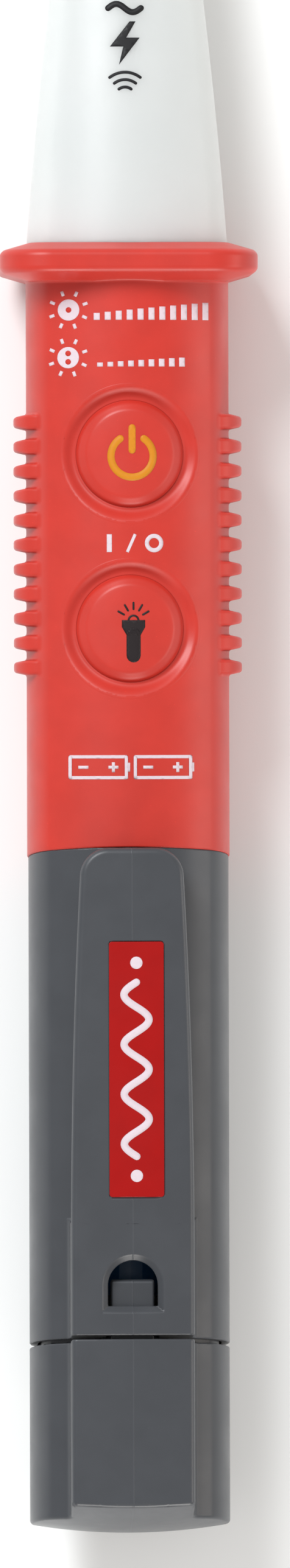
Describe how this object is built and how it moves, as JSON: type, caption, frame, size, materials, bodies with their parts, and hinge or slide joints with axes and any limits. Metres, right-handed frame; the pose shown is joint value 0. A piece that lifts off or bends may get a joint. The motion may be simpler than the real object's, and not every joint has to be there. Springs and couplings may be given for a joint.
{
  "type": "non contact voltage tester",
  "caption": "Pen-shaped non-contact voltage tester with a translucent sensing nose, guard flange, ribbed grip, two buttons, pocket clip and latched battery cap.",
  "frame": {"origin": "middle of the overall length and width, on the surface that the guard flange rests on", "axes": "+Y along the barrel towards the sensing tip, +Z out of the front face with the buttons, +X to the right seen from the front"},
  "size_m": [0.026, 0.176, 0.0228],
  "materials": {
    "red_plastic": "satin soft-touch moulding with a fine grain",
    "red_soft": "satin moulded button skin",
    "white_plastic": "translucent milky white, smooth satin",
    "grey_plastic": "dark grey satin moulding with a fine grain",
    "label_red": "smooth satin print film",
    "cell_jacket": "satin printed film over a steel can",
    "black_plastic": "matte",
    "spring_steel": "bright",
    "contact_brass": "bright",
    "board_green": "satin solder mask",
    "lamp_red": "clear tinted, glossy",
    "lamp_clear": "clear, glossy",
    "capacitor_tan": "satin"
  },
  "bodies": {
    "root": {"front_housing": "red_plastic", "nose_cone": "white_plastic", "rear_sleeve": "grey_plastic", "cell_rear": "cell_jacket", "cell_front": "cell_jacket", "cell_carrier": "black_plastic", "return_strip": "contact_brass", "positive_contact": "contact_brass", "circuit_board": "board_green", "power_dome": "spring_steel", "torch_dome": "spring_steel", "controller_chip": "black_plastic", "amplifier_chip": "black_plastic", "boost_chip": "black_plastic", "indicator_lamp": "lamp_red", "torch_lamp": "lamp_clear", "buzzer": "black_plastic", "boost_coil": "black_plastic", "storage_capacitor": "capacitor_tan", "sensor_plate": "contact_brass", "sensor_lead": "spring_steel"},
    "power_button": {"power_button": "red_soft"},
    "torch_button": {"torch_button": "red_soft"},
    "pocket_clip": {"pocket_clip": "grey_plastic", "clip_label": "label_red"},
    "battery_cap": {"battery_cap": "grey_plastic", "cap_spring": "spring_steel", "cap_contact": "spring_steel"},
    "cap_latch": {"cap_latch": "grey_plastic"}
  },
  "joints": [
    {"name": "power_press", "type": "slide", "parent": "root", "child": "power_button", "axis": [0, 0, -1], "range_m": [0, 0.0005], "stiffness_N_per_m": 800},
    {"name": "torch_press", "type": "slide", "parent": "root", "child": "torch_button", "axis": [0, 0, -1], "range_m": [0, 0.0005], "stiffness_N_per_m": 800},
    {"name": "clip_flex", "type": "hinge", "parent": "root", "child": "pocket_clip", "pos_m": [0, -0.056, 0.02187], "axis": [1, 0, 0], "range_deg": [0, 5], "stiffness_Nm_per_rad": 1.5},
    {"name": "cap_slide", "type": "slide", "parent": "root", "child": "battery_cap", "axis": [0, -1, 0], "range_m": [0, 0.03]},
    {"name": "latch_press", "type": "hinge", "parent": "battery_cap", "child": "cap_latch", "pos_m": [0, -0.0738, 0.0204], "axis": [-1, 0, 0], "range_deg": [0, 3.5], "stiffness_Nm_per_rad": 0.2}
  ]
}
